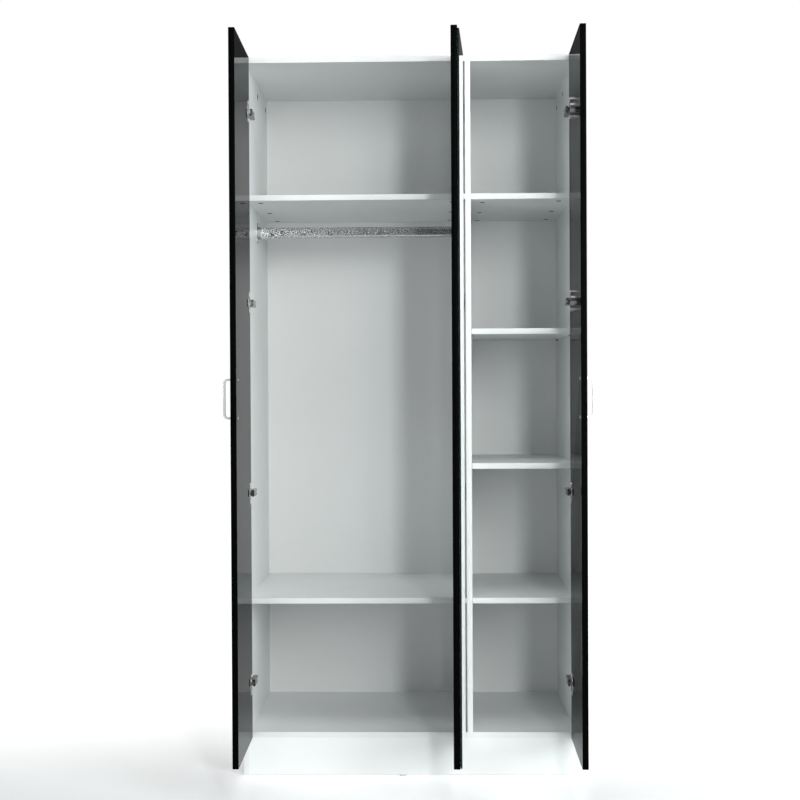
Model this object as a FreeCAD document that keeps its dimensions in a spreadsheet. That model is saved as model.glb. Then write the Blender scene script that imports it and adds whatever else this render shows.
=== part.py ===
"""Three-door wardrobe with a hanging bay, a shelf bay and concealed hinges.

Working frame: X to the right from the carcass's left outer face, Y back from the
carcass's front plane, Z up from the floor, in millimetres. At the end everything
is moved so that the origin is the middle of the whole wardrobe at floor level,
with its doors standing open.
"""
import FreeCAD, Part
import math
import os
import re
from types import SimpleNamespace

from FreeCAD import Placement, Rotation, Vector

SIZES = {
    # Carcass
    "carcass_width": 910.0,
    "carcass_height": 1940.0,
    "side_depth": 485.0,
    "board": 15.0,
    "glide_height": 5.0,
    "glide_inset": 45.0,
    "centre_glide_radius": 10.0,
    "centre_glide_offset": 24.0,
    "plinth_height": 99.5,
    "plinth_back_inset": 20.0,
    # Back panel, held in grooves
    "back_thickness": 3.0,
    "back_inset": 10.0,
    "groove_width": 3.4,
    "groove_depth": 8.0,
    "back_play": 1.0,
    "nail_radius": 0.9,
    "nail_length": 18.0,
    "nail_head_radius": 2.2,
    "nail_head": 0.8,
    # Shelves
    "top_bay": 355.5,
    "shelf_back_gap": 2.0,
    "shelf_play": 0.5,
    "shelf_pin_radius": 2.5,
    "shelf_pin_in": 9.0,
    "shelf_pin_out": 8.0,
    "shelf_pin_front": 50.0,
    # Eccentric fittings
    "cam_radius": 7.5,
    "cam_depth": 12.5,
    "cam_offset": 34.0,
    "cam_first": 50.0,
    "cam_middle": 258.0,
    "cam_last": 440.0,
    "cam_play": 0.1,
    "bolt_radius": 3.0,
    "bolt_in": 11.0,
    "dowel_radius": 4.0,
    "dowel_length": 24.0,
    "dowel_spacing": 32.0,
    # Hanging rail
    "rail_height": 30.0,
    "rail_width": 15.0,
    "rail_wall": 1.0,
    "rail_below_shelf": 59.5,
    "rail_behind": 235.0,
    "rail_play": 0.4,
    "socket_plate": 2.5,
    "socket_reach": 11.0,
    "socket_rim": 2.5,
    "socket_ear": 13.0,
    "socket_ear_overlap": 1.0,
    "rail_end_gap": 1.0,
    # Doors
    "door_thickness": 15.0,
    "door_gap": 2.5,
    "door_margin": 1.0,
    "door_bottom": 106.0,
    "door_front_gap": 2.5,
    "side_rest_angle": 89.0,
    "middle_rest_angle": 86.3,
    # Mirror on the middle door
    "mirror_glass": 4.0,
    "mirror_tape": 2.0,
    "mirror_edge": 1.5,
    "mirror_top": 7.0,
    "tape_width": 20.0,
    "tape_inset": 12.0,
    # Handles
    "handle_spacing": 96.0,
    "handle_bar": 5.0,
    "handle_width": 10.0,
    "handle_reach": 21.0,
    "handle_corner": 12.0,
    "handle_edge": 25.0,
    "handle_screw_radius": 2.0,
    "handle_screw_head": 4.0,
    "handle_screw_head_height": 1.8,
    "handle_screw_bite": 9.0,
    # Concealed hinges
    "hinge_end": 148.0,
    "cup_radius": 17.5,
    "cup_depth": 11.5,
    "cup_wall": 1.0,
    "cup_edge": 5.0,
    "cup_play": 0.1,
    "cup_pivot_along": 9.5,
    "cup_pivot_deep": 2.0,
    "inner_pivot_along": 14.5,
    "inner_pivot_deep": 6.5,
    "link_reach": 19.0,
    "inner_link_reach": 15.0,
    "link_bend_near": -1.0,
    "link_bend_far": 8.3,
    "link_bend_high": 2.65,
    "inner_link_bend": 11.0,
    "inner_link_bend_high": 4.0,
    "open_inset": 10.5,
    "open_rear": 2.5,
    "flange_thickness": 1.2,
    "flange_width": 22.0,
    "flange_height": 60.0,
    "cup_screw_spacing": 45.0,
    "cup_screw_radius": 1.7,
    "cup_screw_head": 3.4,
    "cup_screw_length": 10.0,
    "pin_radius": 1.2,
    "pin_half": 8.3,
    "pin_hole_over": 0.5,
    "pin_play": 0.08,
    "eye_radius": 2.3,
    "link_half": 0.9,
    "link_cheek_inner": 3.7,
    "link_cheek_thick": 1.6,
    "inner_link_height": 6.0,
    "lug_inner": 6.1,
    "lug_thick": 2.0,
    "lug_half": 2.0,
    "arm_half": 9.0,
    "arm_wall": 1.5,
    "arm_top": 18.5,
    "arm_low": 6.5,
    "arm_back": 52.0,
    "hinge_overlay": 14.0,
    "arm_slope": 3.0,
    "arm_throat": 1.5,
    "arm_chin": 3.6,
    "arm_chin_level": 0.5,
    "arm_roof_gap": 0.7,
    "plate_base": 2.0,
    "plate_block": 13.5,
    "plate_block_half": 6.8,
    "plate_front": 20.0,
    "plate_back": 50.0,
    "plate_wing_half": 24.0,
    "plate_wing_width": 14.0,
    "plate_screw_line": 37.0,
    "plate_screw_half": 16.0,
    "plate_screw_radius": 1.8,
    "plate_screw_head": 3.6,
    "plate_screw_length": 12.0,
    "screw_head_height": 1.4,
}
D = SimpleNamespace(**SIZES)

doc = FreeCAD.newDocument("Wardrobe")
sheet = doc.addObject("Spreadsheet::Sheet", "Sizes")
for row, (alias, value) in enumerate(SIZES.items(), 1):
    sheet.set(f"A{row}", alias)
    sheet.set(f"B{row}", str(value))
    sheet.setAlias(f"B{row}", alias)
doc.recompute()

nodes = []


# ---------------------------------------------------------------- helpers

def formula(text):
    """A size written with plain aliases, as an expression that reads the sheet."""
    def named(match):
        word = match.group(0)
        return f"Sizes.{word}" if word in SIZES else word
    return re.sub(r"[a-z_]+", named, text)


def bind(thing, name, text):
    thing.setExpression(name, formula(text))


def box(name, size, at):
    """A box whose three sizes are formulas and whose low corner is a point."""
    made = doc.addObject("Part::Box", name)
    for side, text in zip(("Length", "Width", "Height"), size):
        bind(made, side, text)
    made.Placement = Placement(Vector(*at), Rotation())
    return made


def rod(name, radius, length, at, along=(0, 0, 1)):
    """A cylinder from a point along a direction."""
    made = doc.addObject("Part::Cylinder", name)
    bind(made, "Radius", radius)
    bind(made, "Height", length)
    made.Placement = Placement(Vector(*at), Rotation(Vector(0, 0, 1), Vector(*along)))
    return made


def profile(name, points, height, low):
    """A closed outline of straight edges, extruded upwards from the level low."""
    sketch = doc.addObject("Sketcher::SketchObject", f"{name}_sketch")
    for here, there in zip(points, points[1:] + points[:1]):
        sketch.addGeometry(Part.LineSegment(Vector(*here, 0), Vector(*there, 0)), False)
    made = doc.addObject("Part::Extrusion", name)
    made.Base = sketch
    made.DirMode = "Custom"
    made.Dir = Vector(0, 0, 1)
    made.Solid = True
    bind(made, "LengthFwd", height)
    made.Placement = Placement(Vector(0, 0, low), Rotation())
    return made


def joined(name, pieces):
    made = doc.addObject("Part::MultiFuse", name)
    made.Shapes = pieces
    return made


def gathered(name, pieces):
    made = doc.addObject("Part::Compound", name)
    made.Links = pieces
    return made


def cut(name, base, tools):
    """The base with every tool taken out of it, or the base itself if there are none."""
    if not tools:
        return base
    made = doc.addObject("Part::Cut", name)
    made.Base = base
    made.Tool = tools[0] if len(tools) == 1 else gathered(f"{name}_tools", tools)
    return made


def node(made, label):
    """Names a finished sub-part and lists it for export."""
    made.Label = label
    nodes.append(made)
    return made


def move(made, motion):
    made.Placement = motion.multiply(made.Placement)


# ---------------------------------------------------------------- levels and bays

NAILS = 9
HINGES = 4
TOP_SHELF_STEP = 4

inner_left = D.board
inner_right = D.carcass_width - D.board
top_under = D.carcass_height - D.board
bottom_low = D.glide_height + D.plinth_height
bottom_top = bottom_low + D.board
back_face = D.side_depth - D.back_inset - D.back_thickness
door_width = (D.carcass_width - 2 * D.door_margin - 2 * D.door_gap) / 3
door_height = D.carcass_height - D.door_margin - D.door_bottom
partition_left = D.door_margin + 2 * door_width + D.door_gap
partition_right = partition_left + D.board
shelf_pitch = (top_under - D.top_bay - bottom_top) / TOP_SHELF_STEP
cam_lines = (D.cam_first, D.cam_middle, D.cam_last)

FREE_DEPTH = "side_depth - back_inset - back_thickness"
DOOR_WIDTH = "((carcass_width - 2 * door_margin - 2 * door_gap) / 3)"
DOOR_HEIGHT = "carcass_height - door_margin - door_bottom"
PARTITION_LEFT = f"(door_margin + 2 * {DOOR_WIDTH} + door_gap)"
SHELF_DEPTH = f"{FREE_DEPTH} - shelf_back_gap"
LEFT_BAY = f"{PARTITION_LEFT} - board"
RIGHT_BAY = f"carcass_width - 2 * board - {PARTITION_LEFT}"
INNER_WIDTH = "carcass_width - 2 * board"


def shelf_under(step):
    """Underside of the shelf that stands this many pitches above the bottom panel."""
    return bottom_top + step * shelf_pitch - D.board


# ---------------------------------------------------------------- board fittings

holes = {}
cams = []
bolts = []
dowels = []


def drill(board, tool):
    holes.setdefault(board, []).append(tool)


def eccentric(lying, standing, face, inward, under, line):
    """A cam in a lying board's underside, with its bolt in the standing board beside it.

    face is the X of the standing board's face, and inward the way from it into the bay.
    """
    centre = face + inward * D.cam_offset
    drill(lying, rod("cam_hole", "cam_radius + cam_play", "cam_depth", (centre, line, under)))
    cams.append(rod("cam", "cam_radius", "cam_depth", (centre, line, under)))
    level = under + D.board / 2
    start = (face - inward * D.bolt_in, line, level)
    reach = "bolt_in + cam_offset - cam_radius - cam_play"
    tip = (face - inward * (D.bolt_in + D.cam_play), line, level)
    bore = "cam_play + bolt_in + cam_offset"
    for board in (lying, standing):
        drill(board, rod("bolt_hole", "bolt_radius + cam_play", bore, tip, (inward, 0, 0)))
    bolts.append(rod("bolt", "bolt_radius", reach, start, (inward, 0, 0)))


def dowel(boards, at, along):
    """A wooden dowel, centred on a point of the joint face between two boards."""
    half = D.dowel_length / 2
    start = [at[i] - along[i] * half for i in range(3)]
    mouth = [at[i] - along[i] * (half + D.cam_play) for i in range(3)]
    for board in boards:
        drill(board, rod("dowel_hole", "dowel_radius + cam_play",
                         "dowel_length + 2 * cam_play", mouth, along))
    dowels.append(rod("dowel", "dowel_radius", "dowel_length", start, along))


def fix_shelf(lying, ends, under):
    """Three eccentric fittings and two dowels at each end of a fixed board."""
    for standing, face, inward in ends:
        for line in cam_lines:
            eccentric(lying, standing, face, inward, under, line)
        for line in (D.cam_first + D.dowel_spacing, D.cam_last - D.dowel_spacing):
            dowel((lying, standing), (face, line, under + D.board / 2), (inward, 0, 0))


def fix_top(standing, centre, inward):
    """Cams in a side panel's inner face, with bolts standing up into the top panel."""
    level = top_under - D.cam_offset
    face = centre + inward * D.board / 2
    for line in cam_lines:
        drill(standing, rod("cam_hole", "cam_radius + cam_play", "cam_depth",
                            (face, line, level), (-inward, 0, 0)))
        cams.append(rod("cam", "cam_radius", "cam_depth", (face, line, level), (-inward, 0, 0)))
        for board in (standing, "top_panel"):
            drill(board, rod("bolt_hole", "bolt_radius + cam_play",
                             "cam_offset + bolt_in + cam_play", (centre, line, level)))
        bolts.append(rod("bolt", "bolt_radius", "cam_offset - cam_radius - cam_play + bolt_in",
                         (centre, line, level + D.cam_radius + D.cam_play)))
    for line in (D.cam_first + D.dowel_spacing, D.cam_last - D.dowel_spacing):
        dowel((standing, "top_panel"), (centre, line, top_under), (0, 0, 1))


left_ends = (("left_side", inner_left, 1), ("partition", partition_left, -1))
right_ends = (("partition", partition_right, 1), ("right_side", inner_right, -1))
outer_ends = (("left_side", inner_left, 1), ("right_side", inner_right, -1))
fix_shelf("bottom_panel", outer_ends, bottom_low)
fix_shelf("left_top_shelf", left_ends, shelf_under(TOP_SHELF_STEP))
fix_top("left_side", D.board / 2, 1)
fix_top("right_side", D.carcass_width - D.board / 2, -1)
for joint_line in (D.cam_first + D.dowel_spacing, D.cam_middle, D.cam_last - D.dowel_spacing):
    middle = partition_left + D.board / 2
    dowel(("partition", "bottom_panel"), (middle, joint_line, bottom_top), (0, 0, 1))
    dowel(("partition", "top_panel"), (middle, joint_line, top_under), (0, 0, 1))


def fix_right_top_shelf():
    """Cams like the left shelf's; at the partition its bolts lie beside the left ones."""
    under = shelf_under(TOP_SHELF_STEP)
    for standing, face, inward in right_ends:
        shift = D.dowel_spacing / 2 if standing == "partition" else 0
        for line in cam_lines:
            eccentric("right_top_shelf", standing, face, inward, under, line + shift)


fix_right_top_shelf()


# ---------------------------------------------------------------- shelf pins

pins = []


def pin_shelf(ends, under):
    """Four pins under a loose shelf."""
    lines = (D.shelf_pin_front, back_face - D.shelf_back_gap - D.shelf_pin_front)
    level = under - D.shelf_pin_radius
    for standing, face, inward in ends:
        for line in lines:
            offset = D.shelf_pin_front / 2 if inward > 0 and standing == "partition" else 0
            start = (face - inward * D.shelf_pin_in, line + offset, level)
            drill(standing, rod("pin_hole", "shelf_pin_radius", "shelf_pin_in",
                                start, (inward, 0, 0)))
            pins.append(rod("shelf_pin", "shelf_pin_radius", "shelf_pin_in + shelf_pin_out",
                            start, (inward, 0, 0)))


pin_shelf(left_ends, shelf_under(1))
for step in (1, 2, 3):
    pin_shelf(right_ends, shelf_under(step))


# ---------------------------------------------------------------- grooves for the back

def groove(board, size, at):
    drill(board, box("groove", size, at))


groove_front = back_face - (D.groove_width - D.back_thickness) / 2
side_groove = ("groove_depth", "groove_width",
               "carcass_height - board - glide_height - plinth_height")
groove("left_side", side_groove, (inner_left - D.groove_depth, groove_front, bottom_low))
groove("right_side", side_groove, (inner_right, groove_front, bottom_low))
groove("top_panel", (f"{INNER_WIDTH} + 2 * groove_depth", "groove_width", "groove_depth"),
       (inner_left - D.groove_depth, groove_front, top_under))


# ---------------------------------------------------------------- hanging rail

rail_level = shelf_under(TOP_SHELF_STEP) - D.rail_below_shelf
rail_start = inner_left + D.socket_plate + D.rail_end_gap
rail_end = partition_left - D.socket_plate - D.rail_end_gap
socket_screws = []


def oval(name, radius, radius_now, length, at):
    """An upright oval bar along X whose round ends have this radius."""
    half = (D.rail_height - D.rail_width) / 2
    pieces = [
        rod(f"{name}_end", radius, length, (at[0], at[1], at[2] + up), (1, 0, 0))
        for up in (-half, half)
    ]
    pieces.append(box(f"{name}_flat", (length, f"2 * ({radius})", "rail_height - rail_width"),
                      (at[0], at[1] - radius_now, at[2] - half)))
    return joined(name, pieces)


def make_rail():
    length = f"{LEFT_BAY} - 2 * socket_plate - 2 * rail_end_gap"
    at = (rail_start, D.rail_behind, rail_level)
    outer = oval("rail_outside", "rail_width / 2", D.rail_width / 2, length, at)
    inner = oval("rail_inside", "rail_width / 2 - rail_wall", D.rail_width / 2 - D.rail_wall,
                 length, at)
    node(cut("rail", outer, [inner]), "hanging_rail")


def make_socket(label, standing, face, inward):
    """An oval plate with a rim around the rail's end and an ear at top and bottom."""
    rim_radius = D.rail_width / 2 + D.rail_play + D.socket_rim
    seat_radius = D.rail_width / 2 + D.rail_play
    low = face if inward > 0 else face - D.socket_reach
    rim = oval("socket_rim", "rail_width / 2 + rail_play + socket_rim", rim_radius,
               "socket_reach", (low, D.rail_behind, rail_level))
    seat_low = face + D.socket_plate if inward > 0 else face - D.socket_reach
    seat = oval("socket_seat", "rail_width / 2 + rail_play", seat_radius,
                "socket_reach - socket_plate", (seat_low, D.rail_behind, rail_level))
    ear_low = face if inward > 0 else face - D.socket_plate
    ear_up = D.rail_height / 2 + D.rail_play + D.socket_rim + D.socket_ear / 2
    ear_up -= D.socket_ear_overlap
    ears = []
    screw_holes = []
    for up in (-ear_up, ear_up):
        centre = (ear_low, D.rail_behind, rail_level + up)
        ears.append(rod("socket_ear", "socket_ear / 2", "socket_plate", centre, (1, 0, 0)))
        ears.append(box("socket_neck", ("socket_plate", "socket_ear", "socket_ear / 2"),
                        (ear_low, D.rail_behind - D.socket_ear / 2,
                         rail_level + (up if up < 0 else up - D.socket_ear / 2))))
        screw_at = (face + inward * D.socket_plate, D.rail_behind, rail_level + up)
        screw_holes.append(screw(socket_screws, standing, screw_at, (inward, 0, 0),
                                 "socket_plate", D.socket_plate))
    made = cut("socket", joined("socket_body", [rim] + ears), [seat] + screw_holes)
    node(made, label)


def screw(group, board, at, out, under_head, under_head_now):
    """A wood screw, head on the point at and facing out, through a plate into a board.

    Returns the hole that the plate needs.
    """
    shank = f"plate_screw_length + {under_head}"
    tip = [at[i] - out[i] * (D.plate_screw_length + under_head_now) for i in range(3)]
    head = rod("screw_head", "plate_screw_head", "screw_head_height", at, out)
    group.append(joined("screw", [rod("screw_shank", "plate_screw_radius", shank, tip, out), head]))
    drill(board, rod("screw_hole", "plate_screw_radius", shank, tip, out))
    return rod("plate_hole", "plate_screw_radius + cam_play", shank, tip, out)


make_rail()
make_socket("rail_socket_left", "left_side", inner_left, 1)
make_socket("rail_socket_right", "partition", partition_left, -1)


# ---------------------------------------------------------------- concealed hinges
#
# Each hinge lives in a plane seen from above. u runs from the face it is screwed to
# into the bay, and y back from the carcass's front plane. Its outer link turns on the
# arm and carries the door; its inner link keeps the door's angle in step.

# A point of the door is given from its hinge edge, along the door, and from its inner
# face, which looks into the bay when the door is shut.

CUP_PIVOT = (D.cup_pivot_along, -D.cup_pivot_deep)
INNER_CUP_PIVOT = (D.inner_pivot_along, -D.inner_pivot_deep)


def shut_point(point):
    """A point of an uncranked door in the hinge's plane, door shut."""
    return (-D.hinge_overlay + point[0], -D.door_front_gap + point[1])


def open_point(point):
    """The same point with the door square open."""
    return (D.open_inset + point[1], -D.open_rear - point[0])


def link_pivot(cup_pivot, reach):
    """The arm's pivot that swings a cup pivot from shut to square open.

    It stands on the line midway between the two places, this far from it. Also
    returns the link's turn as a share of the door's.
    """
    shut = shut_point(cup_pivot)
    opened = open_point(cup_pivot)
    chord = math.dist(shut, opened)
    across = ((shut[1] - opened[1]) / chord, (opened[0] - shut[0]) / chord)
    pivot = ((shut[0] + opened[0]) / 2 + across[0] * reach,
             (shut[1] + opened[1]) / 2 + across[1] * reach)
    share = 2 * math.degrees(math.atan(chord / 2 / reach)) / 90
    return pivot, share


ARM_PIVOT, LINK_SHARE = link_pivot(CUP_PIVOT, D.link_reach)
INNER_ARM_PIVOT, INNER_LINK_SHARE = link_pivot(INNER_CUP_PIVOT, D.inner_link_reach)
LINK_BEND = (open_point((D.link_bend_near, D.link_bend_high)),
             open_point((D.link_bend_far, D.link_bend_high)))
INNER_LINK_BEND = (open_point((D.inner_link_bend, D.inner_link_bend_high)),)


def turned(point, pivot, degrees):
    """A point in the hinge's plane, turned about a pivot."""
    angle = math.radians(degrees)
    du = point[0] - pivot[0]
    dy = point[1] - pivot[1]
    return (pivot[0] + du * math.cos(angle) - dy * math.sin(angle),
            pivot[1] + du * math.sin(angle) + dy * math.cos(angle))


class Hinging:
    """How one door hangs: the face its hinges are on, its sense and its rest angle."""

    def __init__(self, name, board, face, inward, crank, rest):
        self.name = name
        self.board = board
        self.face = face
        self.inward = inward
        self.crank = crank
        self.rest = rest
        self.edge = crank - D.hinge_overlay

    def x(self, u):
        return self.face + self.inward * u

    def pivot(self, point):
        """A pivot on the arm, moved in by the crank."""
        return (point[0] + self.crank, point[1])

    def closed(self, point):
        """A point of the door, given from its hinge edge and inner face, when shut."""
        u, y = shut_point(point)
        return (u + self.crank, y)

    def spin(self, point, degrees):
        """A turn about a point of the hinge's plane, positive as the links open."""
        about = Rotation(Vector(0, 0, 1), self.inward * degrees)
        return Placement(Vector(0, 0, 0), about, Vector(self.x(point[0]), point[1], 0))

    def cup_pivot_open(self):
        arm = self.pivot(ARM_PIVOT)
        return turned(self.closed(CUP_PIVOT), arm, LINK_SHARE * self.rest)

    def link_motion(self):
        return self.spin(self.pivot(ARM_PIVOT), LINK_SHARE * self.rest)

    def inner_link_motion(self):
        return self.spin(self.pivot(INNER_ARM_PIVOT), INNER_LINK_SHARE * self.rest)

    def door_motion(self):
        shut = self.closed(CUP_PIVOT)
        opened = self.cup_pivot_open()
        slide = Vector(self.x(opened[0]) - self.x(shut[0]), opened[1] - shut[1], 0)
        return Placement(slide, Rotation()).multiply(self.spin(shut, -self.rest))


hinge_span = door_height - 2 * D.hinge_end
hinge_levels = [D.door_bottom + D.hinge_end + hinge_span * i / (HINGES - 1)
                for i in range(HINGES)]


def strip(points, half):
    """The outline of a bent strip of this half width along a few points."""
    one_side = []
    other_side = []
    for i, point in enumerate(points):
        ahead = points[min(i + 1, len(points) - 1)]
        behind = points[max(i - 1, 0)]
        before = math.atan2(point[1] - behind[1], point[0] - behind[0]) if i else None
        after = math.atan2(ahead[1] - point[1], ahead[0] - point[0]) if ahead != point else None
        if before is None:
            before = after
        if after is None:
            after = before
        way = (before + after) / 2
        wide = half / math.cos((after - before) / 2)
        du = -math.sin(way) * wide
        dy = math.cos(way) * wide
        one_side.append((point[0] + du, point[1] + dy))
        other_side.append((point[0] - du, point[1] - dy))
    return one_side + other_side[::-1]


def mirrored(hang, points):
    return [(hang.x(u), y) for u, y in points]


def bent_link(hang, arm, cup, bends, height, low, full_turn):
    """A strip from an arm pivot round its bends to a cup pivot, with an eye at each end.

    The bends are given where they lie with the door square open, and are turned back
    by full_turn to where they lie with it shut.
    """
    shut_bends = [turned(hang.pivot(point), arm, -full_turn) for point in bends]
    path = [arm] + shut_bends + [cup]
    pieces = [profile("link_strip", mirrored(hang, strip(path, D.link_half)), height, low)]
    for point in (arm, cup):
        pieces.append(rod("link_eye", "eye_radius", height, (hang.x(point[0]), point[1], low)))
    bores = [
        rod("link_bore", "pin_radius + pin_play", height, (hang.x(point[0]), point[1], low))
        for point in (arm, cup)
    ]
    return cut("link", joined("link_body", pieces), bores)


def make_links(hang, level):
    """The outer link's two cheeks and the inner link between them, door shut."""
    arm = hang.pivot(ARM_PIVOT)
    cup = hang.closed(CUP_PIVOT)
    cheeks = []
    for low in (D.link_cheek_inner, -D.link_cheek_inner - D.link_cheek_thick):
        cheeks.append(bent_link(hang, arm, cup, LINK_BEND, "link_cheek_thick", level + low,
                                LINK_SHARE * 90))
    inner = bent_link(hang, hang.pivot(INNER_ARM_PIVOT), hang.closed(INNER_CUP_PIVOT),
                      INNER_LINK_BEND, "inner_link_height", level - D.inner_link_height / 2,
                      INNER_LINK_SHARE * 90)
    pin_low = level - D.pin_half
    pins_here = [
        rod("link_pin", "pin_radius", "2 * pin_half", (hang.x(point[0]), point[1], pin_low))
        for point in (arm, cup)
    ]
    inner_pin_at = hang.pivot(INNER_ARM_PIVOT)
    inner_pin = rod("inner_pin", "pin_radius", "2 * pin_half",
                    (hang.x(inner_pin_at[0]), inner_pin_at[1], pin_low))
    return cheeks, inner, pins_here, inner_pin


def make_arm(hang, level):
    """A channel whose cheeks carry both pins, stepped in or out where it is cranked."""
    step = hang.crank
    pivot_u, pivot_y = ARM_PIVOT
    nose_u, nose_y = INNER_ARM_PIVOT
    lip = D.pin_radius + D.arm_wall
    nose = nose_y - lip
    front = pivot_y + lip
    rear = front + D.arm_slope + abs(step)
    top = D.arm_top
    back_points = [(top + step, front), (top, rear), (top, D.arm_back)]
    low_points = [(D.arm_low, D.arm_back), (D.arm_low, rear), (D.arm_low + step, front),
                  (pivot_u - lip + step, pivot_y - D.arm_throat),
                  (nose_u - D.arm_chin + step, D.arm_chin_level), (nose_u - lip + step, nose)]
    outline = mirrored(hang, [(top + step, nose)] + back_points + low_points)
    roof_top = [(top + step, nose_y + D.eye_radius + D.arm_roof_gap)] + back_points
    under = [(u - D.arm_wall, y) for u, y in roof_top]
    roof = mirrored(hang, roof_top + under[::-1])
    pieces = [
        profile("arm_cheek", outline, "arm_wall", level + D.arm_half - D.arm_wall),
        profile("arm_cheek", outline, "arm_wall", level - D.arm_half),
        profile("arm_roof", roof, "2 * arm_half", level - D.arm_half),
    ]
    bores = []
    for point in (ARM_PIVOT, INNER_ARM_PIVOT):
        u, y = hang.pivot(point)
        bores.append(rod("arm_bore", "pin_radius + pin_play", "2 * arm_half",
                         (hang.x(u), y, level - D.arm_half)))
    slot = box("arm_slot", ("arm_wall + 2 * cam_play", "plate_screw_radius * 4",
                            "plate_screw_radius * 2 + 2 * cam_play"),
               (min(hang.x(top - D.arm_wall - D.cam_play), hang.x(top + D.cam_play)),
                D.plate_screw_line - 2 * D.plate_screw_radius,
                level - D.plate_screw_radius - D.cam_play))
    return cut("arm", joined("arm_body", pieces), bores + [slot])


def make_plate(hang, level, screws):
    """A mounting plate: two screwed wings and the block that the arm slides over."""
    wing_low = min(hang.x(0), hang.x(D.plate_base))
    wings = box("plate_wings", ("plate_base", "plate_wing_width", "2 * plate_wing_half"),
                (wing_low, D.plate_screw_line - D.plate_wing_width / 2,
                 level - D.plate_wing_half))
    block = box("plate_block", ("plate_block", "plate_back - plate_front",
                                "2 * plate_block_half"),
                (min(hang.x(0), hang.x(D.plate_block)), D.plate_front,
                 level - D.plate_block_half))
    clearances = []
    for up in (-D.plate_screw_half, D.plate_screw_half):
        at = (hang.x(D.plate_base), D.plate_screw_line, level + up)
        clearances.append(screw(screws, hang.board, at, (hang.inward, 0, 0),
                                "plate_base", D.plate_base))
    clamp_from = (hang.x(D.plate_block), D.plate_screw_line, level)
    reach = "arm_top - plate_block"
    clamp = joined("clamp_screw", [
        rod("clamp_shank", "plate_screw_radius", reach, clamp_from, (hang.inward, 0, 0)),
        rod("clamp_head", "plate_screw_head", "screw_head_height",
            (hang.x(D.arm_top), D.plate_screw_line, level), (hang.inward, 0, 0)),
    ])
    screws.append(clamp)
    return cut("plate", joined("plate_body", [wings, block]), clearances)


def make_cup(hang, level, door_label, screws):
    """A steel cup let into the door, with a screwed flange and lugs for the outer pin."""
    u, face = hang.closed((D.cup_edge + D.cup_radius, 0))
    centre = (hang.x(u), face, level)
    floor = (hang.x(u), face - D.cup_depth, level)
    half_flat = "flange_height / 2 - flange_width / 2"
    reach = D.flange_height / 2 - D.flange_width / 2
    pieces = [rod("cup_shell", "cup_radius", "cup_depth + flange_thickness", floor, (0, 1, 0))]
    pieces.append(box("cup_flange", ("flange_width", "flange_thickness", f"2 * ({half_flat})"),
                      (centre[0] - D.flange_width / 2, face, level - reach)))
    for up in (-reach, reach):
        pieces.append(rod("flange_end", "flange_width / 2", "flange_thickness",
                          (centre[0], face, level + up), (0, 1, 0)))
    pocket = rod("cup_pocket", "cup_radius - cup_wall",
                 "cup_depth - cup_wall + flange_thickness",
                 (centre[0], face - D.cup_depth + D.cup_wall, level), (0, 1, 0))
    shell = cut("cup_hollow", joined("cup_body", pieces), [pocket])
    pin_u, pin_y = hang.closed(CUP_PIVOT)
    lugs = []
    for low in (D.lug_inner, -D.lug_inner - D.lug_thick):
        lugs.append(box("cup_lug", ("2 * lug_half", "cup_depth", "lug_thick"),
                        (hang.x(pin_u) - D.lug_half, face - D.cup_depth, level + low)))
    pin_hole = rod("cup_pin_hole", "pin_radius + pin_play", "2 * (pin_half + pin_hole_over)",
                   (hang.x(pin_u), pin_y, level - D.pin_half - D.pin_hole_over))
    clearances = [pin_hole]
    for up in (-D.cup_screw_spacing / 2, D.cup_screw_spacing / 2):
        head_at = (centre[0], face + D.flange_thickness, level + up)
        tip = (centre[0], face - D.cup_screw_length, level + up)
        shank = "cup_screw_length + flange_thickness"
        screws.append(joined("cup_screw", [
            rod("cup_screw_shank", "cup_screw_radius", shank, tip, (0, 1, 0)),
            rod("cup_screw_head", "cup_screw_head", "screw_head_height", head_at, (0, 1, 0)),
        ]))
        clearances.append(rod("flange_hole", "cup_screw_radius + cam_play", shank, tip, (0, 1, 0)))
        drill(door_label, rod("cup_screw_hole", "cup_screw_radius", shank, tip, (0, 1, 0)))
    drill(door_label, rod("cup_seat", "cup_radius + cup_play", "cup_depth + cup_play",
                          (centre[0], face - D.cup_depth - D.cup_play, level), (0, 1, 0)))
    return cut("cup", joined("cup_with_lugs", [shell] + lugs), clearances)


# ---------------------------------------------------------------- doors

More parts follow.
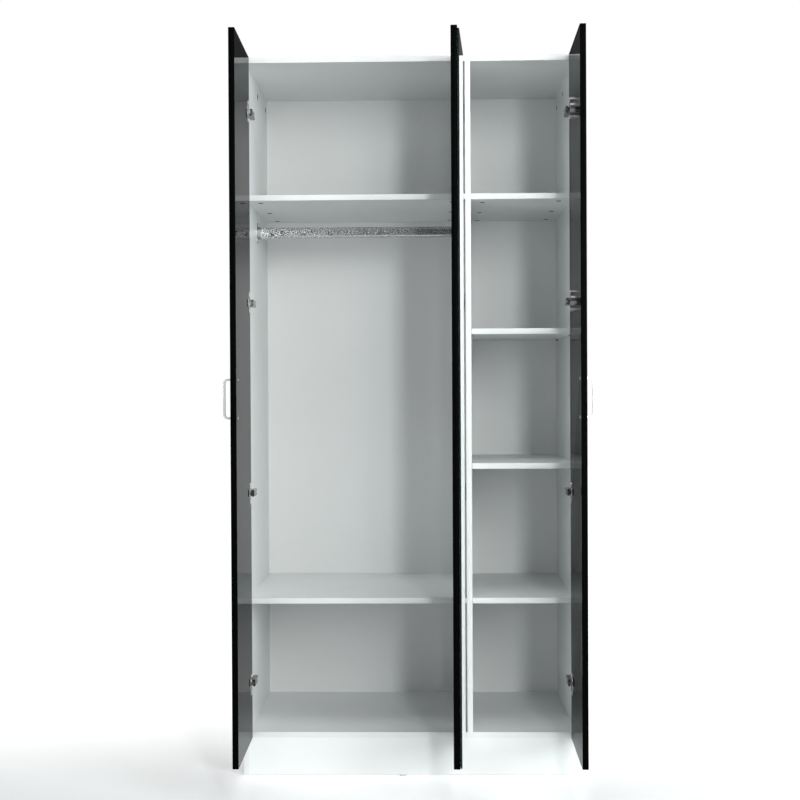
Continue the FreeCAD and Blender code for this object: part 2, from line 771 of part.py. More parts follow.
def make_handle(hang, label, door_label):
    """A flat bow handle upright near the free edge, with a screw into each foot."""
    u = hang.edge + door_width - D.handle_edge
    outer = -D.door_front_gap - D.door_thickness
    middle = D.door_bottom + door_height / 2
    half = D.handle_spacing / 2 + D.handle_bar / 2
    reach = D.handle_reach
    corner = D.handle_corner
    inner = corner - D.handle_bar
    body = doc.addObject("PartDesign::Body", f"{label}_body")
    sketch = body.newObject("Sketcher::SketchObject", f"{label}_outline")
    plane = next(f for f in body.Origin.OriginFeatures if f.Role == "YZ_Plane")
    sketch.AttachmentSupport = (plane, [""])
    sketch.MapMode = "FlatFace"
    doc.recompute()

    def line(here, there):
        sketch.addGeometry(Part.LineSegment(Vector(*here, 0), Vector(*there, 0)), False)

    def arc(centre, radius, start):
        circle = Part.Circle(Vector(*centre, 0), Vector(0, 0, 1), radius)
        sketch.addGeometry(Part.ArcOfCircle(circle, start, start + math.pi / 2), False)

    bar = D.handle_bar
    line((0, -half), (0, -half + bar))
    line((0, -half + bar), (-reach + corner, -half + bar))
    arc((-reach + corner, -half + corner), inner, math.pi)
    line((-reach + bar, -half + corner), (-reach + bar, half - corner))
    arc((-reach + corner, half - corner), inner, math.pi / 2)
    line((-reach + corner, half - bar), (0, half - bar))
    line((0, half - bar), (0, half))
    line((0, half), (-reach + corner, half))
    arc((-reach + corner, half - corner), corner, math.pi / 2)
    line((-reach, half - corner), (-reach, -half + corner))
    arc((-reach + corner, -half + corner), corner, math.pi)
    line((-reach + corner, -half), (0, -half))
    pad = body.newObject("PartDesign::Pad", f"{label}_pad")
    pad.Profile = sketch
    bind(pad, "Length", "handle_width")
    pad.SideType = "Symmetric"
    doc.recompute()
    body.Placement = Placement(Vector(hang.x(u), outer, middle), Rotation())
    screws = []
    foot_holes = []
    for up in (-D.handle_spacing / 2, D.handle_spacing / 2):
        level = middle + up
        tip = (hang.x(u), outer - D.handle_screw_bite, level)
        shank = "handle_screw_bite + door_thickness"
        screws.append(joined("handle_screw", [
            rod("handle_screw_shank", "handle_screw_radius", shank, tip, (0, 1, 0)),
            rod("handle_screw_head", "handle_screw_head", "handle_screw_head_height",
                (hang.x(u), -D.door_front_gap, level), (0, 1, 0)),
        ]))
        for store in (foot_holes, holes.setdefault(door_label, [])):
            store.append(rod("handle_screw_hole", "handle_screw_radius", shank, tip, (0, 1, 0)))
    handle = cut("handle", body, foot_holes)
    return handle, gathered("handle_screws", screws)


def make_mirror(hang):
    """A frameless glass sheet on strips of foam tape over the door's outer face."""
    outer = -D.door_front_gap - D.door_thickness
    low_u = hang.edge + D.mirror_edge
    high_u = hang.edge + door_width - D.mirror_edge
    glass_low = min(hang.x(low_u), hang.x(high_u))
    bottom = D.door_bottom + D.mirror_edge
    height = f"{DOOR_HEIGHT} - mirror_edge - mirror_top"
    glass = box("glass_sheet", (f"{DOOR_WIDTH} - 2 * mirror_edge", "mirror_glass", height),
                (glass_low, outer - D.mirror_tape - D.mirror_glass, bottom))
    strips = []
    last = door_width - 2 * D.mirror_edge - D.tape_width - D.tape_inset
    for offset in (D.tape_inset, (D.tape_inset + last) / 2, last):
        strips.append(box("tape_strip", ("tape_width", "mirror_tape", f"{height} - 2 * tape_inset"),
                          (glass_low + offset, outer - D.mirror_tape, bottom + D.tape_inset)))
    return glass, gathered("tape_strips", strips)


def make_door(hang, with_handle):
    """A door shut, with all that rides on it, swung open to its place at rest."""
    name = f"{hang.name}_door"
    swing = hang.door_motion()
    arms = []
    plates = []
    cups = []
    cheeks = []
    inner_links = []
    link_pins = []
    inner_pins = []
    cup_screws = []
    plate_screws = []
    for level in hinge_levels:
        arms.append(make_arm(hang, level))
        plates.append(make_plate(hang, level, plate_screws))
        cups.append(make_cup(hang, level, name, cup_screws))
        pair, inner, pins_here, inner_pin = make_links(hang, level)
        cheeks += pair
        inner_links.append(inner)
        link_pins += pins_here
        inner_pins.append(inner_pin)
    node(gathered("arms", arms), f"{hang.name}_hinge_arms")
    node(gathered("plates", plates), f"{hang.name}_hinge_plates")
    node(gathered("plate_screws", plate_screws), f"{hang.name}_hinge_plate_screws")
    carried = [
        node(gathered("cups", cups), f"{hang.name}_hinge_cups"),
        node(gathered("cup_screws", cup_screws), f"{hang.name}_hinge_cup_screws"),
    ]
    links = [
        node(gathered("outer_links", cheeks), f"{hang.name}_hinge_outer_links"),
        node(gathered("link_pins", link_pins), f"{hang.name}_hinge_pins"),
    ]
    inner_group = node(gathered("inner_links", inner_links + inner_pins),
                       f"{hang.name}_hinge_inner_links")
    if with_handle:
        handle, handle_screws = make_handle(hang, f"{hang.name}_handle", name)
        carried.append(node(handle, f"{hang.name}_handle"))
        carried.append(node(handle_screws, f"{hang.name}_handle_screws"))
    else:
        glass, tape = make_mirror(hang)
        carried.append(node(glass, "mirror"))
        carried.append(node(tape, "mirror_tape"))
    low_x = min(hang.x(hang.edge), hang.x(hang.edge + door_width))
    leaf = box(f"{name}_leaf", (DOOR_WIDTH, "door_thickness", DOOR_HEIGHT),
               (low_x, -D.door_front_gap - D.door_thickness, D.door_bottom))
    carried.append(node(cut(name, leaf, holes[name]), name))
    for made in carried:
        move(made, swing)
    for made in links:
        move(made, hang.link_motion())
    move(inner_group, hang.inner_link_motion())


side_crank = D.hinge_overlay - (D.board - D.door_margin)
middle_crank = D.hinge_overlay
hangings = (
    Hinging("left", "left_side", inner_left, 1, side_crank, D.side_rest_angle),
    Hinging("middle", "partition", partition_left, -1, middle_crank, D.middle_rest_angle),
    Hinging("right", "right_side", inner_right, -1, side_crank, D.side_rest_angle),
)
for hanging in hangings:
    make_door(hanging, hanging.name != "middle")


# ---------------------------------------------------------------- back panels

def make_back():
    """Two hardboard sheets that meet behind the partition, nailed to it."""
    middle = partition_left + D.board / 2
    height = "carcass_height - board - glide_height - plinth_height + groove_depth - back_play"
    left_width = f"{PARTITION_LEFT} - board / 2 + groove_depth - back_play - back_play / 2"
    right_width = (f"carcass_width - {PARTITION_LEFT} - board - board / 2 "
                   "+ groove_depth - back_play - back_play / 2")
    left_low = inner_left - D.groove_depth + D.back_play
    sheets = {
        "back_panel_left": box("back_left", (left_width, "back_thickness", height),
                               (left_low, back_face, bottom_low)),
        "back_panel_right": box("back_right", (right_width, "back_thickness", height),
                                (middle + D.back_play / 2, back_face, bottom_low)),
    }
    nails = []
    span = top_under - bottom_top - 2 * D.cam_offset
    for side, label in ((-1, "back_panel_left"), (1, "back_panel_right")):
        at_x = middle + side * D.board / 4
        for i in range(NAILS):
            level = bottom_top + D.cam_offset + span * i / (NAILS - 1)
            tip = (at_x, back_face + D.back_thickness - D.nail_length, level)
            nails.append(joined("nail", [
                rod("nail_shank", "nail_radius", "nail_length", tip, (0, 1, 0)),
                rod("nail_head", "nail_head_radius", "nail_head",
                    (at_x, back_face + D.back_thickness, level), (0, 1, 0)),
            ]))
            for sheet_or_board in (label, "partition"):
                drill(sheet_or_board,
                      rod("nail_hole", "nail_radius", "nail_length", tip, (0, 1, 0)))
        node(cut(label, sheets[label], holes[label]), label)
    node(gathered("nails", nails), "back_nails")


make_back()


# ---------------------------------------------------------------- carcass boards

def panel(label, size, at):
    """A carcass board with all its holes."""
    leaf = box(f"{label}_board", size, at)
    node(cut(label, leaf, holes.get(label, [])), label)


side_height = "carcass_height - board - glide_height"
bay_height = "carcass_height - 2 * board - glide_height - plinth_height"
panel("left_side", ("board", "side_depth", side_height), (0, 0, D.glide_height))
panel("right_side", ("board", "side_depth", side_height), (inner_right, 0, D.glide_height))
panel("top_panel", ("carcass_width", "side_depth", "board"), (0, 0, top_under))
panel("bottom_panel", (INNER_WIDTH, FREE_DEPTH, "board"), (inner_left, 0, bottom_low))
panel("partition", ("board", FREE_DEPTH, bay_height), (partition_left, 0, bottom_top))
panel("left_top_shelf", (LEFT_BAY, SHELF_DEPTH, "board"), (inner_left, 0, shelf_under(TOP_SHELF_STEP)))
panel("right_top_shelf", (RIGHT_BAY, SHELF_DEPTH, "board"),
      (partition_right, 0, shelf_under(TOP_SHELF_STEP)))
panel("left_lower_shelf", (f"{LEFT_BAY} - 2 * shelf_play", SHELF_DEPTH, "board"),
      (inner_left + D.shelf_play, 0, shelf_under(1)))
for step, place in ((1, "lower"), (2, "second"), (3, "third")):
    panel(f"right_{place}_shelf", (f"{RIGHT_BAY} - 2 * shelf_play", SHELF_DEPTH, "board"),
          (partition_right + D.shelf_play, 0, shelf_under(step)))

plinth_size = (INNER_WIDTH, "board", "plinth_height")
panel("plinth_front", plinth_size, (inner_left, 0, D.glide_height))
panel("plinth_back", plinth_size,
      (inner_left, back_face - D.plinth_back_inset - D.board, D.glide_height))
brace_depth = f"{FREE_DEPTH} - plinth_back_inset - 2 * board"
panel("plinth_brace", ("board", brace_depth, "plinth_height"),
      (D.carcass_width / 2 - D.board / 2, D.board, D.glide_height))


def make_glides():
    """Round plastic glides under the sides, and wider ones under the plinth's middle."""
    pads = []
    rear = D.side_depth - D.glide_inset
    for line in (D.glide_inset, rear):
        for centre in (D.board / 2, D.carcass_width - D.board / 2):
            pads.append(rod("glide", "board / 2", "glide_height", (centre, line, 0)))
    plinth_rear = back_face - D.plinth_back_inset - D.centre_glide_radius
    for line in (D.centre_glide_radius, plinth_rear):
        pads.append(rod("centre_glide", "centre_glide_radius", "glide_height",
                        (D.carcass_width / 2 - D.centre_glide_offset, line, 0)))
    node(gathered("glides", pads), "glides")


make_glides()
node(gathered("cams", cams), "cams")
node(gathered("bolts", bolts), "cam_bolts")
node(gathered("dowels", dowels), "dowels")
node(gathered("pins", pins), "shelf_pins")
node(gathered("socket_screws", socket_screws), "rail_socket_screws")


# ---------------------------------------------------------------- origin, checks, export

doc.recompute()
whole = FreeCAD.BoundBox()
for made in nodes:
    whole.add(made.Shape.BoundBox)
origin = Vector(whole.Center.x, whole.Center.y, whole.ZMin)
for made in nodes:
    move(made, Placement(origin.negative(), Rotation()))
doc.recompute()

for thing in doc.Objects:
    bad = {"Invalid", "Error"} & set(thing.State)
    if bad:
        raise RuntimeError(f"{thing.Name} ({thing.Label}) is {bad}")
for made in nodes:
    if made.Shape.isNull() or not made.Shape.isValid():
        raise RuntimeError(f"{made.Label} has no valid shape")

os.makedirs("parts", exist_ok=True)
for made in nodes:
    made.Shape.exportStep(f"parts/{made.Label}.step")
print(len(nodes), "sub-parts, size", whole.XLength, whole.YLength, whole.ZLength)
print("origin from the carcass's lower left front:", tuple(origin))
print("link turns as shares of the door's:", LINK_SHARE, INNER_LINK_SHARE)
for hanging in hangings:
    opened = hanging.cup_pivot_open()
    arm = hanging.pivot(ARM_PIVOT)
    inner = hanging.pivot(INNER_ARM_PIVOT)
    for what, point in (("arm pivot", arm), ("cup pivot", opened), ("inner pivot", inner)):
        print(hanging.name, what, hanging.x(point[0]) - origin.x, point[1] - origin.y)
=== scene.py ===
import math

import bmesh
import bpy
from mathutils import Matrix, Vector, noise


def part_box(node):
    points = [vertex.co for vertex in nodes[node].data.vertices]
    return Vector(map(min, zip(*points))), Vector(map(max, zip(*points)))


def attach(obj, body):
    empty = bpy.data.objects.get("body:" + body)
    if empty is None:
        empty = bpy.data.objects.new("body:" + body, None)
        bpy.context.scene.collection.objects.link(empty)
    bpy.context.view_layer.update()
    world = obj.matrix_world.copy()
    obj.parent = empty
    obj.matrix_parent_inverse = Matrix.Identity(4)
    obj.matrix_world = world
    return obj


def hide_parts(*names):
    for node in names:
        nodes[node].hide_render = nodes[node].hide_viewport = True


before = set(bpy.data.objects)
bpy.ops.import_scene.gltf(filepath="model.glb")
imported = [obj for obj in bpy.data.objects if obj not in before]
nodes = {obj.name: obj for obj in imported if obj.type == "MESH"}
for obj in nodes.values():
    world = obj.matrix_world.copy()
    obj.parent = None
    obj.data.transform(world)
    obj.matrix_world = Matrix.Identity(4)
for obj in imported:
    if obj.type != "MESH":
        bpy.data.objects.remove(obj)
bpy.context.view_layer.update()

MM = 0.001
scene = bpy.context.scene
DOORS = ("left", "middle", "right")
X_AXIS = Vector((1, 0, 0))
UP = Vector((0, 0, 1))


# ---------------------------------------------------------------- materials

class Shader:
    """A node material with a Principled shader and short ways to feed it."""

    def __init__(self, name, colour, roughness, metallic=0.0, **sockets):
        self.material = bpy.data.materials.new(name)
        self.material.use_nodes = True
        self.tree = self.material.node_tree
        self.shader = self.tree.nodes["Principled BSDF"]
        self.shader.inputs["Base Color"].default_value = (*colour, 1)
        self.shader.inputs["Roughness"].default_value = roughness
        self.shader.inputs["Metallic"].default_value = metallic
        for socket, value in sockets.items():
            self.shader.inputs[socket.replace("_", " ")].default_value = value
        self.place = self.add("ShaderNodeTexCoord").outputs["Object"]

    def add(self, kind, **settings):
        made = self.tree.nodes.new(kind)
        for name, value in settings.items():
            setattr(made, name, value)
        return made

    def link(self, source, target):
        self.tree.links.new(source, target)

    def stretched(self, scale):
        """Object coordinates in metres, scaled along each axis."""
        mapping = self.add("ShaderNodeMapping")
        mapping.inputs["Scale"].default_value = scale
        self.link(self.place, mapping.inputs["Vector"])
        return mapping.outputs["Vector"]

    def noise(self, scale, detail=3.0, rough=0.55, stretch=(1, 1, 1)):
        """Noise whose features are about 1 / scale metres across."""
        texture = self.add("ShaderNodeTexNoise")
        texture.inputs["Scale"].default_value = scale
        texture.inputs["Detail"].default_value = detail
        texture.inputs["Roughness"].default_value = rough
        self.link(self.stretched(stretch), texture.inputs["Vector"])
        return texture.outputs["Fac"]

    def cells(self, scale):
        """Distance to the nearest of many scattered points, as in a foam."""
        texture = self.add("ShaderNodeTexVoronoi")
        texture.inputs["Scale"].default_value = scale
        self.link(self.place, texture.inputs["Vector"])
        return texture.outputs["Distance"]

    def split(self):
        """The X, Y and Z of a point, as separate outputs."""
        made = self.add("ShaderNodeSeparateXYZ")
        self.link(self.place, made.inputs["Vector"])
        return made.outputs

    def ramp(self, factor, stops):
        """A factor turned into a colour through (position, colour) stops."""
        made = self.add("ShaderNodeValToRGB")
        ramp = made.color_ramp
        ramp.elements[0].position = stops[0][0]
        ramp.elements[0].color = (*stops[0][1], 1)
        ramp.elements[1].position = stops[-1][0]
        ramp.elements[1].color = (*stops[-1][1], 1)
        for position, colour in stops[1:-1]:
            ramp.elements.new(position).color = (*colour, 1)
        self.link(factor, made.inputs["Fac"])
        return made.outputs["Color"]

    def spread(self, factor, low, high, start=0.0, end=1.0, curve="LINEAR"):
        """A factor from start to end turned into a number from low to high."""
        made = self.add("ShaderNodeMapRange", interpolation_type=curve)
        made.inputs["From Min"].default_value = start
        made.inputs["From Max"].default_value = end
        made.inputs["To Min"].default_value = low
        made.inputs["To Max"].default_value = high
        self.link(factor, made.inputs["Value"])
        return made.outputs["Result"]

    def colour_by(self, colour):
        """A base colour that comes from other nodes."""
        self.link(colour, self.shader.inputs["Base Color"])

    def mottle(self, dark, light, scale, detail=3.0, stretch=(1, 1, 1)):
        """A base colour that wanders between two tones."""
        tones = [(0.3, dark), (0.7, light)]
        self.colour_by(self.ramp(self.noise(scale, detail, stretch=stretch), tones))

    def roughness_by(self, factor, low, high):
        """A roughness that wanders between two values with a factor."""
        self.link(self.spread(factor, low, high), self.shader.inputs["Roughness"])

    def bump(self, height, strength, distance):
        """Adds a bump on top of any that is there already."""
        made = self.add("ShaderNodeBump")
        made.inputs["Strength"].default_value = strength
        made.inputs["Distance"].default_value = distance
        self.link(height, made.inputs["Height"])
        normal = self.shader.inputs["Normal"]
        if normal.is_linked:
            self.link(normal.links[0].from_socket, made.inputs["Normal"])
        self.link(made.outputs["Normal"], normal)


def around(colour, share):
    """Two colours a little under and over one."""
    return ([c * (1 - share) for c in colour], [min(1.0, c * (1 + share)) for c in colour])


def white_board():
    """Melamine-faced board: near white, with a fine pearl texture and slight clouding."""
    white = (0.75, 0.765, 0.765)
    made = Shader("white_melamine", white, 0.42, Specular_IOR_Level=0.45)
    under, over = around(white, 0.008)
    made.colour_by(made.ramp(made.noise(9, 4), [(0.35, under), (0.65, over)]))
    made.roughness_by(made.noise(60, 3), 0.36, 0.5)
    made.bump(made.noise(1500, 2, 0.6), 0.16, 0.0002)
    made.bump(made.noise(260, 2), 0.05, 0.0003)
    return made.material


def edge_band():
    """Plastic edge banding: smoother than the board's face, and a touch greyer."""
    white = (0.70, 0.71, 0.71)
    made = Shader("white_edge_band", white, 0.33, Specular_IOR_Level=0.5)
    under, over = around(white, 0.012)
    made.colour_by(made.ramp(made.noise(30, 3), [(0.35, under), (0.65, over)]))
    made.bump(made.noise(420, 2), 0.06, 0.0002)
    return made.material


def back_board(face_y):
    """Hardboard: white lacquered in front, brown pressed fibre behind."""
    made = Shader("back_hardboard", (0.8, 0.81, 0.8), 0.5)
    behind = made.add("ShaderNodeMath", operation="GREATER_THAN")
    behind.inputs[1].default_value = face_y
    made.link(made.split()["Y"], behind.inputs[0])
    front = made.ramp(made.noise(8, 3),
                      [(0.3, (0.75, 0.762, 0.757)), (0.7, (0.762, 0.774, 0.769))])
    fibre = made.ramp(made.noise(420, 5, 0.7),
                      [(0.25, (0.15, 0.088, 0.05)), (0.5, (0.27, 0.17, 0.10)),
                       (0.78, (0.38, 0.26, 0.165))])
    mix = made.add("ShaderNodeMix", data_type="RGBA")
    made.link(behind.outputs[0], mix.inputs["Factor"])
    made.link(front, mix.inputs["A"])
    made.link(fibre, mix.inputs["B"])
    made.colour_by(mix.outputs["Result"])
    made.roughness_by(made.noise(90, 2), 0.42, 0.6)
    made.bump(made.noise(700, 3), 0.14, 0.0003)
    return made.material


def black_gloss():
    """High-gloss black facing: deep, with the slight waviness of a pressed film."""
    made = Shader("black_high_gloss", (0.0012, 0.0014, 0.0016), 0.3, Specular_IOR_Level=0.0,
                  Coat_Weight=0.52, Coat_IOR=1.35, Coat_Roughness=0.04)
    made.mottle((0.0008, 0.001, 0.0012), (0.002, 0.0024, 0.0026), 14)
    made.roughness_by(made.noise(22, 4), 0.2, 0.4)
    made.bump(made.noise(35, 2), 0.04, 0.0006)
    made.bump(made.noise(900, 2), 0.015, 0.0001)
    return made.material


def black_band():
    """Black plastic edging round a door: duller than the facing and finely grained."""
    made = Shader("black_edge_band", (0.0006, 0.0007, 0.0008), 0.5, Specular_IOR_Level=0.015)
    made.mottle((0.0003, 0.0004, 0.0004), (0.001, 0.0011, 0.0012), 260)
    made.roughness_by(made.noise(500, 3), 0.42, 0.6)
    made.bump(made.noise(800, 2), 0.08, 0.0002)
    return made.material


def satin_chrome():
    """The handles' satin chrome, brushed lengthways, which is upwards."""
    made = Shader("satin_chrome", (0.7, 0.71, 0.72), 0.28, 0.45)
    made.mottle((0.66, 0.67, 0.68), (0.75, 0.755, 0.76), 90, 4, (1, 1, 0.1))
    made.roughness_by(made.noise(120, 3, stretch=(1, 1, 0.1)), 0.2, 0.34)
    made.bump(made.noise(900, 2, stretch=(1, 1, 0.06)), 0.05, 0.0001)
    return made.material


def rail_chrome():
    """Chromed steel tube with the faint ripples of its rolling and drawing."""
    made = Shader("rail_chrome", (0.36, 0.37, 0.38), 0.12, 1.0)
    made.roughness_by(made.noise(80, 4, stretch=(0.3, 1, 1)), 0.07, 0.2)
    made.bump(made.noise(90, 3, 0.6, stretch=(0.4, 1, 1)), 0.1, 0.0008)
    return made.material


def clear_film(start_x, end_x):
    """Thin clear packing film: see-through, with hard highlights, and opaque white flecks at its
    creases that are partly milky film and partly painted highlights.

    The flecks fade along X, from the film's start to its end.
    """
    made = Shader("clear_film", (0.93, 0.94, 0.94), 0.1, IOR=1.5, Specular_IOR_Level=1.0,
                  Coat_Weight=1.0, Coat_IOR=1.7, Coat_Roughness=0.12)
    made.mottle((0.9, 0.91, 0.91), (0.98, 0.98, 0.98), 90)
    # opaque white flecks where the noise peaks: milky creases, partly painted highlight
    creases_and_painted_glints = made.ramp(made.noise(330, 4, 0.7),
                        [(0.47, (0.04, 0.04, 0.04)), (0.56, (1, 1, 1))])
    milk_and_painted_glint_alpha = made.add("ShaderNodeMath", operation="MULTIPLY")
    made.link(creases_and_painted_glints, milk_and_painted_glint_alpha.inputs[0])
    made.link(made.spread(made.split()["X"], 1.0, 0.3, start_x, end_x), milk_and_painted_glint_alpha.inputs[1])
    made.link(milk_and_painted_glint_alpha.outputs["Value"], made.shader.inputs["Alpha"])
    made.roughness_by(made.noise(200, 2), 0.08, 0.25)
    made.bump(made.noise(520, 3), 1.0, 0.003)
    return made.material


def nickel():
    """Nickel-plated stamping: satin, with fine drawing lines and dull spots."""
    made = Shader("nickel_plated_steel", (0.6, 0.595, 0.58), 0.14, 0.6)
    made.mottle((0.52, 0.515, 0.5), (0.7, 0.695, 0.68), 140, 4)
    made.roughness_by(made.noise(260, 3, stretch=(1, 1, 0.15)), 0.07, 0.2)
    made.bump(made.noise(1800, 2, stretch=(1, 1, 0.1)), 0.05, 0.0001)
    return made.material


def shade_darkened_nickel():
    """Nickel steel of the hinges' arms and links, coloured near black to paint the shade on them, so
    it shows only hard highlights.
    """
    made = Shader("nickel_steel_darkened_for_shade", (0.07, 0.07, 0.068), 0.16, 1.0)
    made.mottle((0.045, 0.045, 0.043), (0.1, 0.099, 0.096), 140, 4)
    made.roughness_by(made.noise(260, 3, stretch=(1, 1, 0.15)), 0.1, 0.24)
    made.bump(made.noise(1800, 2, stretch=(1, 1, 0.1)), 0.05, 0.0001)
    return made.material


def zinc_plated():
    """Zinc-plated screws, pins and nails, with a patchy dull shine."""
    made = Shader("zinc_plated_screw", (0.62, 0.62, 0.6), 0.3, 1.0)
    made.mottle((0.5, 0.5, 0.49), (0.7, 0.7, 0.69), 300)
    made.roughness_by(made.noise(500, 3), 0.2, 0.42)
    return made.material


def shade_darkened_cam_metal():
    """Dull die-cast zinc, coloured near black to paint the shade in the boards' undersides where the
    cams are seen.
    """
    made = Shader("die_cast_zinc_darkened_for_shade", (0.015, 0.016, 0.018), 0.5, 0.6)
    made.mottle((0.008, 0.009, 0.01), (0.025, 0.026, 0.028), 600, 4)
    made.roughness_by(made.noise(400, 3), 0.38, 0.65)
    made.bump(made.noise(1500, 3), 0.2, 0.0002)
    return made.material


def plastic():
    """Grey moulded plastic of the glides."""
    made = Shader("glide_plastic", (0.55, 0.55, 0.53), 0.45)
    made.mottle((0.50, 0.50, 0.48), (0.6, 0.6, 0.58), 200)
    made.bump(made.noise(900, 2), 0.15, 0.0002)
    return made.material


def beech():
    """Beech dowels, with grain along X."""
    made = Shader("beech_dowel", (0.6, 0.42, 0.25), 0.6)
    made.mottle((0.5, 0.33, 0.18), (0.68, 0.5, 0.32), 300, 5, (0.1, 1, 1))
    return made.material


def mirror_silver():
    """Silvered glass face: a clean reflection with a faint green cast."""
    made = Shader("mirror_face", (0.86, 0.9, 0.885), 0.01, 1.0)
    made.roughness_by(made.noise(6, 3), 0.004, 0.02)
    return made.material


def glass_edge():
    """The sheet's polished edge, dark green through its depth."""
    made = Shader("mirror_edge", (0.004, 0.012, 0.01), 0.2, IOR=1.3)
    made.mottle((0.002, 0.007, 0.006), (0.008, 0.02, 0.017), 240, stretch=(1, 1, 0.05))
    return made.material


def mirror_back():
    """Grey protective paint on the sheet's back."""
    made = Shader("mirror_back_paint", (0.3, 0.32, 0.33), 0.6)
    made.mottle((0.27, 0.29, 0.3), (0.34, 0.36, 0.37), 50)
    made.bump(made.noise(900, 2), 0.1, 0.0002)
    return made.material


def foam():
    """Closed-cell foam tape, pale, with painted shade in the pits of its cells."""
    made = Shader("foam_tape", (0.72, 0.73, 0.73), 0.85)
    cells = made.cells(900)
    # darker where the cells' bump sinks: painted shade in the pits
    made.colour_by(made.ramp(cells, [(0.1, (0.6, 0.61, 0.61)), (0.5, (0.78, 0.79, 0.79))]))
    made.bump(cells, 0.5, 0.0004)
    return made.material


def pale_floor():
    """A white studio floor that brightens into the backdrop behind the wardrobe."""
    made = Shader("pale_floor", (0.9, 0.9, 0.9), 0.9, Specular_IOR_Level=0.0,
                  Emission_Color=(1, 1, 1, 1))
    glow = made.spread(made.split()["Y"], 0.2, 1.0, -0.4, 0.9, "SMOOTHSTEP")
    made.link(glow, made.shader.inputs["Emission Strength"])
    made.mottle((0.935, 0.935, 0.935), (0.95, 0.95, 0.95), 1.5, 2)
    return made.material


WHITE = white_board()
BAND = edge_band()
LACQUER_DEPTH = 0.5 * MM
BACK = back_board(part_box("back_panel_left")[0].y + LACQUER_DEPTH)
GLOSS = black_gloss()
BLACK_BAND = black_band()
CHROME = satin_chrome()
RAIL = rail_chrome()
FILM = clear_film(*(corner.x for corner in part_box("hanging_rail")))
NICKEL = nickel()
SHADE_DARKENED_NICKEL = shade_darkened_nickel()
ZINC = zinc_plated()
SHADE_DARKENED_CAM = shade_darkened_cam_metal()
PLASTIC = plastic()
BEECH = beech()
SILVER = mirror_silver()
GLASS_EDGE = glass_edge()
BACK_PAINT = mirror_back()
FOAM = foam()
FLOOR = pale_floor()


# ---------------------------------------------------------------- mesh helpers

def piece(name, mesh, body, slot, *materials):
    """A new piece that rides on a body, with the given materials; its slot is not used."""
    made = bpy.data.objects.new(name, mesh)
    scene.collection.objects.link(made)
    for material in materials:
        mesh.materials.append(material)
    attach(made, body)
    return made


def mesh_of(name, build):
    """A mesh filled by a function, with its faces turned outwards."""
    bm = bmesh.new()
    build(bm)
    bmesh.ops.recalc_face_normals(bm, faces=bm.faces)
    mesh = bpy.data.meshes.new(name)
    bm.to_mesh(mesh)
    bm.free()
    return mesh


FLAT_ANGLE = math.radians(0.5)
EDGE_ANGLE = math.radians(35)


def finish_node(name, material, width, segments=2):
    """A CAD node kept as it is, with its material, small round edges and smooth shading."""
    made = nodes[name]
    made.data.materials.clear()
    made.data.materials.append(material)
    planar = made.modifiers.new("tidy", "DECIMATE")
    planar.decimate_type = "DISSOLVE"
    planar.angle_limit = FLAT_ANGLE
    bevel = made.modifiers.new("edges", "BEVEL")
    bevel.width = width
    bevel.segments = segments
    bevel.limit_method = "ANGLE"
    bevel.angle_limit = EDGE_ANGLE
    bevel.harden_normals = True
    made.data.shade_smooth()


def rounded_block(bm, low, high, radius, segments=2):
    """A box from corner to corner with every edge rounded."""
    made = bmesh.ops.create_cube(bm, size=1)
    size = high - low
    centre = (high + low) / 2
    for vert in made["verts"]:
        vert.co = Vector(v * s for v, s in zip(vert.co, size)) + centre
    edges = {edge for vert in made["verts"] for edge in vert.link_edges}
    bmesh.ops.bevel(bm, geom=list(edges), offset=radius, segments=segments,
                    affect="EDGES", profile=0.5, clamp_overlap=True)


def box_of(points):
    """The lowest and highest corners of a group of points."""
    low = Vector(min(p[i] for p in points) for i in range(3))
    high = Vector(max(p[i] for p in points) for i in range(3))
    return low, high


def middle_of(points):
    """The centre of a group's box."""
    low, high = box_of(points)
    return (low + high) / 2


def circle(bm, place, radius, height, steps):
    """A ring of points about the Z axis of a placement."""
    turns = [2 * math.pi * i / steps for i in range(steps)]
    return [bm.verts.new(place @ Vector((radius * math.cos(turn), radius * math.sin(turn), height)))
            for turn in turns]


def facing(at, out):
    """A placement whose Z axis points out from a point."""
    return Matrix.Translation(at) @ Vector(out).to_track_quat("Z", "Y").to_matrix().to_4x4()


def cross_head(bm, place, radius, height, dome, steps=32, rings=9):
    """A screw's or cam's head: a rim, a face that is domed or flat, and a cross recess.

    The recess is sunk among the face's own points, so it is part of the same skin.
    """
    slot_half, slot_reach, centre_reach = (radius * share for share in (0.14, 0.62, 0.2))
    face = []
    for r in range(rings + 1):
        share = r / rings
        ring = []
        for i in range(steps if r else 1):
            angle = 2 * math.pi * i / steps
            x = share * radius * math.cos(angle)
            y = share * radius * math.sin(angle)
            top = height * (1 - dome * share ** 2.6)
            arm, reach = sorted((abs(x), abs(y)))
            if arm < slot_half and reach < slot_reach or reach < centre_reach:
                top -= height * (0.8 - 0.6 * reach / radius)
            ring.append(bm.verts.new(place @ Vector((x, y, top))))
        face.append(ring)
    foot = circle(bm, place, radius, 0, steps)
    join_rings(bm, face + [foot], steps)
    return foot


def join_rings(bm, rings, steps):
    """Faces between rings of points, where a ring of one point closes to a tip."""
    for lower, upper in zip(rings, rings[1:]):
        for i in range(steps):
            j = (i + 1) % steps
            if len(lower) == 1:
                bm.faces.new((lower[0], upper[i], upper[j]))
            elif len(upper) == 1:
                bm.faces.new((lower[i], upper[0], lower[j]))
            else:
                bm.faces.new((lower[i], lower[j], upper[j], upper[i]))


THREAD_PITCH = 1.4 * MM
THREAD_ROOT = 0.74
HEAD_DOME = 0.55


